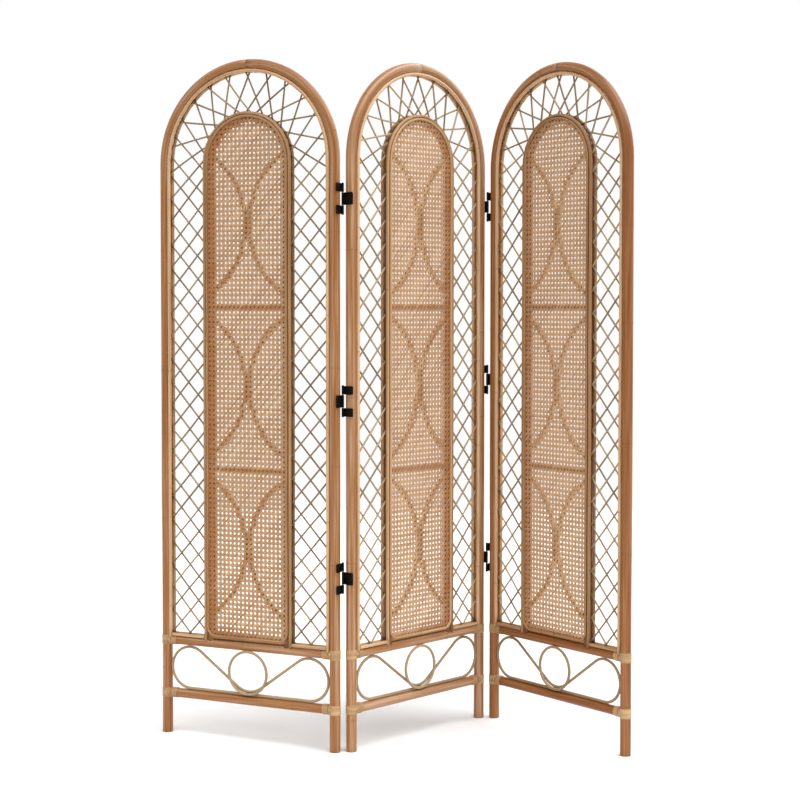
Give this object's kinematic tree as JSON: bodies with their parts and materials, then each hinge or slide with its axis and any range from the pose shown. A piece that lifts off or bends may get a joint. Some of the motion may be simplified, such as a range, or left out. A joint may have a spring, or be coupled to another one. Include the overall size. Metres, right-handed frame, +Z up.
{
  "type": "rattan folding screen",
  "caption": "Folding room screen of arched rattan panels with lattice borders, woven cane centres and scrolled bases, hinged to fold both ways and stand in a zigzag.",
  "frame": {"origin": "middle of the bounding box on the floor, with the screen stood in its zigzag", "axes": "+Z up, +X along the screen to the right seen from the front, +Y to the rear"},
  "size_m": [1.2344, 0.446, 1.8],
  "materials": {
    "pole": "satin",
    "frame": "satin",
    "lining": "satin",
    "lattice": "satin",
    "binding": "satin",
    "scroll": "satin",
    "webbing": "matte",
    "hinge": "satin"
  },
  "bodies": {
    "middle_panel": {"middle_panel_left_pole": "pole", "middle_panel_right_pole": "pole", "middle_panel_upper_rail": "pole", "middle_panel_lower_rail": "pole", "middle_panel_left_frame_pole": "frame", "middle_panel_right_frame_pole": "frame", "middle_panel_cross_bars": "frame", "middle_panel_curved_braces": "frame", "middle_panel_outer_linings": "lining", "middle_panel_inner_linings": "lining", "middle_panel_webbing_bead": "lining", "middle_panel_lattice_rising": "lattice", "middle_panel_lattice_falling": "lattice", "middle_panel_bindings": "binding", "middle_panel_scroll_rod": "scroll", "middle_panel_scroll_ring": "scroll", "middle_panel_cane_webbing": "webbing", "middle_panel_hinge_screws": "hinge", "middle_panel_left_hinge_leaves": "hinge", "middle_panel_right_hinge_leaves": "hinge", "left_hinge_pins": "hinge", "right_hinge_pins": "hinge"},
    "left_panel": {"left_panel_left_pole": "pole", "left_panel_right_pole": "pole", "left_panel_upper_rail": "pole", "left_panel_lower_rail": "pole", "left_panel_left_frame_pole": "frame", "left_panel_right_frame_pole": "frame", "left_panel_cross_bars": "frame", "left_panel_curved_braces": "frame", "left_panel_outer_linings": "lining", "left_panel_inner_linings": "lining", "left_panel_webbing_bead": "lining", "left_panel_lattice_rising": "lattice", "left_panel_lattice_falling": "lattice", "left_panel_bindings": "binding", "left_panel_scroll_rod": "scroll", "left_panel_scroll_ring": "scroll", "left_panel_cane_webbing": "webbing", "left_panel_hinge_screws": "hinge", "left_panel_hinge_leaves": "hinge"},
    "right_panel": {"right_panel_left_pole": "pole", "right_panel_right_pole": "pole", "right_panel_upper_rail": "pole", "right_panel_lower_rail": "pole", "right_panel_left_frame_pole": "frame", "right_panel_right_frame_pole": "frame", "right_panel_cross_bars": "frame", "right_panel_curved_braces": "frame", "right_panel_outer_linings": "lining", "right_panel_inner_linings": "lining", "right_panel_webbing_bead": "lining", "right_panel_lattice_rising": "lattice", "right_panel_lattice_falling": "lattice", "right_panel_bindings": "binding", "right_panel_scroll_rod": "scroll", "right_panel_scroll_ring": "scroll", "right_panel_cane_webbing": "webbing", "right_panel_hinge_screws": "hinge", "right_panel_hinge_leaves": "hinge"}
  },
  "joints": [
    {"name": "left_fold", "type": "hinge", "parent": "middle_panel", "child": "left_panel", "pos_m": [-0.12416, -0.16372, 0.91], "axis": [0, 0, 1], "range_deg": [-107.3, 71.1]},
    {"name": "right_fold", "type": "hinge", "parent": "middle_panel", "child": "right_panel", "pos_m": [0.27413, 0.19869, 0.95], "axis": [0, 0, 1], "range_deg": [-80, 98.4]}
  ]
}
